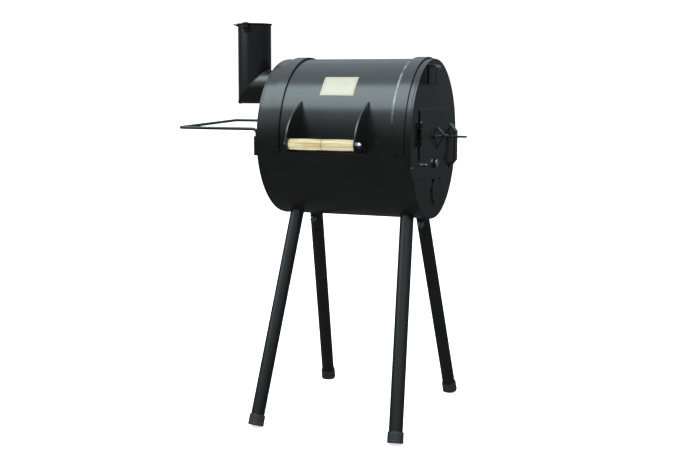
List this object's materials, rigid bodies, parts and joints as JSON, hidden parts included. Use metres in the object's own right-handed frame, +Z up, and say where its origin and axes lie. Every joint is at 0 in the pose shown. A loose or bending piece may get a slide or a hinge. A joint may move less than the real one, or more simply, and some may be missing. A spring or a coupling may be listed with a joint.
{
  "type": "barrel smoker",
  "caption": "Charcoal barrel smoker on four splayed tube legs, with a hinged lid, mitred chimney, side door, air flap and lift-out side rail.",
  "frame": {"origin": "middle of the outline on the floor that the foot caps stand on", "axes": "+Z up, +X along the barrel towards the end with the charcoal door, +Y to the back"},
  "size_m": [0.73, 0.5504, 1.0325],
  "materials": {
    "black_paint": "semi-gloss heat-resistant paint",
    "zinc_steel": "bright zinc plated",
    "grate_steel": "bare steel",
    "turned_wood": "turned and lightly oiled",
    "foot_rubber": "moulded",
    "name_plate_enamel": "cream enamel, blank"
  },
  "bodies": {
    "root": {"barrel_shell": "black_paint", "end_plate_left": "black_paint", "end_plate_right": "black_paint", "cooking_grate": "grate_steel", "fire_grate": "grate_steel", "grate_ledge_front": "black_paint", "grate_ledge_rear": "black_paint", "chimney_elbow": "black_paint", "chimney_stack": "black_paint", "damper_lug": "black_paint", "damper_bolt": "zinc_steel", "lid_hinge_fixed_left": "black_paint", "lid_hinge_fixed_right": "black_paint", "door_hinge_bracket_upper": "black_paint", "door_hinge_bracket_lower": "black_paint", "door_hinge_pin": "zinc_steel", "bolt_keeper": "black_paint", "flap_bolt": "zinc_steel", "flap_stop_pin": "zinc_steel", "hanger_bracket": "black_paint", "rail_socket_front": "black_paint", "rail_socket_rear": "black_paint", "leg_socket_front_left": "black_paint", "leg_tube_front_left": "black_paint", "leg_bolt_front_left": "zinc_steel", "foot_cap_front_left": "foot_rubber", "leg_socket_front_right": "black_paint", "leg_tube_front_right": "black_paint", "leg_bolt_front_right": "zinc_steel", "foot_cap_front_right": "foot_rubber", "leg_socket_rear_left": "black_paint", "leg_tube_rear_left": "black_paint", "leg_bolt_rear_left": "zinc_steel", "foot_cap_rear_left": "foot_rubber", "leg_socket_rear_right": "black_paint", "leg_tube_rear_right": "black_paint", "leg_bolt_rear_right": "zinc_steel", "foot_cap_rear_right": "foot_rubber"},
    "lid": {"lid_shell": "black_paint", "lid_strap_left": "black_paint", "lid_strap_right": "black_paint", "name_plate": "name_plate_enamel", "handle_bracket_left": "black_paint", "handle_bracket_right": "black_paint", "handle_rod": "zinc_steel", "handle_nut_left": "zinc_steel", "handle_nut_right": "zinc_steel", "handle_grip_left": "turned_wood", "handle_grip_right": "turned_wood", "lid_hinge_moving_left": "black_paint", "lid_hinge_moving_right": "black_paint"},
    "door": {"door_panel": "black_paint", "door_hinge_leaf": "black_paint", "bolt_yoke": "black_paint", "bolt_guide": "black_paint"},
    "bolt": {"door_bolt": "black_paint"},
    "flap": {"air_flap": "black_paint"},
    "damper": {"damper_disc": "black_paint"},
    "rail": {"side_rail": "black_paint"}
  },
  "joints": [
    {"name": "lid_hinge", "type": "hinge", "parent": "root", "child": "lid", "pos_m": [0.08414, 0.07905, 0.93046], "axis": [-1, 0, 0], "range_deg": [0, 100]},
    {"name": "door_hinge", "type": "hinge", "parent": "root", "child": "door", "pos_m": [0.29344, -0.13448, 0.7485], "axis": [0, 0, -1], "range_deg": [0, 115]},
    {"name": "door_bolt_slide", "type": "slide", "parent": "door", "child": "bolt", "axis": [0, 1, 0], "range_m": [0, 0.032]},
    {"name": "air_flap_pivot", "type": "hinge", "parent": "root", "child": "flap", "pos_m": [0.289, 0.01081, 0.671], "axis": [1, 0, 0], "range_deg": [-1.5, 55]},
    {"name": "chimney_damper_swivel", "type": "hinge", "parent": "root", "child": "damper", "pos_m": [-0.22036, -0.04618, 1.0285], "axis": [0, 0, 1], "range_deg": [0, 110]},
    {"name": "side_rail_lift", "type": "slide", "parent": "root", "child": "rail", "axis": [0, 0, 1], "range_m": [0, 0.055]}
  ]
}
